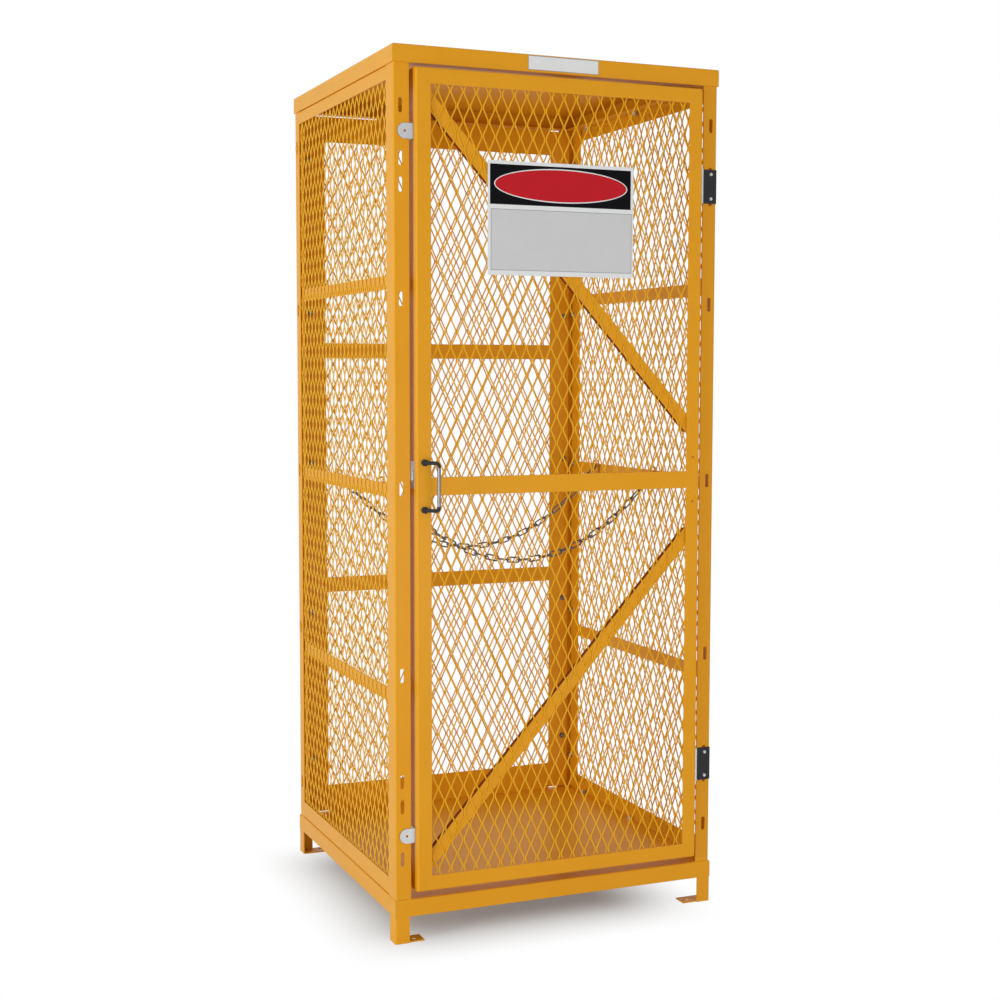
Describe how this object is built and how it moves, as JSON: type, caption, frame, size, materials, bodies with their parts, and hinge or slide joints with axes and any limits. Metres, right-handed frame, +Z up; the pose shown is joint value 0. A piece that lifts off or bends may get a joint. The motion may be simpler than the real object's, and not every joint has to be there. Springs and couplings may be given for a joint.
{
  "type": "gas cylinder cage",
  "caption": "Walk-up gas cylinder cage: folded steel trays and corner posts, expanded metal walls, a hinged lockable door and retaining chains inside.",
  "frame": {"origin": "on the floor, in the middle of the whole outline, handle included", "axes": "+X to the right seen from the front, +Y to the back, +Z up"},
  "size_m": [0.824, 0.8558, 2.03],
  "materials": {
    "yellow_coat": "semi-gloss powder coat with a fine orange-peel",
    "black_coat": "satin black coat",
    "zinc": "bright zinc plate",
    "polished_steel": "polished",
    "sign_face": "printed sheet, satin",
    "chain_zinc": "dull zinc plate"
  },
  "bodies": {
    "cage": {"base_tray": "yellow_coat", "roof_tray": "yellow_coat", "post_front_left_face": "yellow_coat", "post_front_left_side": "yellow_coat", "post_front_right_face": "yellow_coat", "post_front_right_side": "yellow_coat", "post_rear_left_back": "yellow_coat", "post_rear_left_side": "yellow_coat", "post_rear_right_back": "yellow_coat", "post_rear_right_side": "yellow_coat", "leg_front_left": "yellow_coat", "leg_front_right": "yellow_coat", "leg_rear_left": "yellow_coat", "leg_rear_right": "yellow_coat", "left_top_rail": "yellow_coat", "left_bottom_rail": "yellow_coat", "left_front_stile": "yellow_coat", "left_rear_stile": "yellow_coat", "left_flat_rail_upper": "yellow_coat", "left_flat_rail_middle": "yellow_coat", "left_flat_rail_lower": "yellow_coat", "left_mesh": "yellow_coat", "right_top_rail": "yellow_coat", "right_bottom_rail": "yellow_coat", "right_front_stile": "yellow_coat", "right_rear_stile": "yellow_coat", "right_flat_rail_upper": "yellow_coat", "right_flat_rail_middle": "yellow_coat", "right_flat_rail_lower": "yellow_coat", "right_mesh": "yellow_coat", "back_top_rail": "yellow_coat", "back_bottom_rail": "yellow_coat", "back_left_stile": "yellow_coat", "back_right_stile": "yellow_coat", "back_flat_rail_upper": "yellow_coat", "back_flat_rail_lower": "yellow_coat", "back_mesh": "yellow_coat", "panel_bolts": "zinc", "panel_nuts": "zinc", "chain_eyes": "yellow_coat", "hinge_post_leaves": "black_coat", "hinge_pins": "zinc", "hinge_screws": "zinc"},
    "door": {"hinge_door_leaves": "zinc", "door_top_rail": "yellow_coat", "door_bottom_rail": "yellow_coat", "door_latch_stile": "yellow_coat", "door_hinge_stile": "yellow_coat", "door_mid_rail": "yellow_coat", "door_mesh": "yellow_coat", "door_brace_upper": "yellow_coat", "door_brace_lower": "yellow_coat", "door_tabs": "zinc", "handle_brackets": "black_coat", "handle_grip": "polished_steel", "lock_case": "black_coat", "sign_plate": "sign_face"},
    "bolt": {"lock_bolt": "zinc"},
    "front_chain": {"chain_front": "chain_zinc"},
    "rear_chain": {"chain_rear": "chain_zinc"}
  },
  "joints": [
    {"name": "door_hinge", "type": "hinge", "parent": "cage", "child": "door", "pos_m": [0.3669, -0.37412, 1.0505], "axis": [0, 0, 1], "range_deg": [0, 110]},
    {"name": "lock_slide", "type": "slide", "parent": "door", "child": "bolt", "axis": [-1, 0, 0], "range_m": [-0.006, 0.02]},
    {"name": "front_chain_swing", "type": "hinge", "parent": "cage", "child": "front_chain", "pos_m": [-0.3915, -0.22212, 1.04955], "axis": [0.9875, 0.1576, 0], "range_deg": [-45, 45]},
    {"name": "rear_chain_swing", "type": "hinge", "parent": "cage", "child": "rear_chain", "pos_m": [-0.3915, 0.11288, 1.04955], "axis": [0.9875, 0.1576, 0], "range_deg": [-45, 45]}
  ]
}
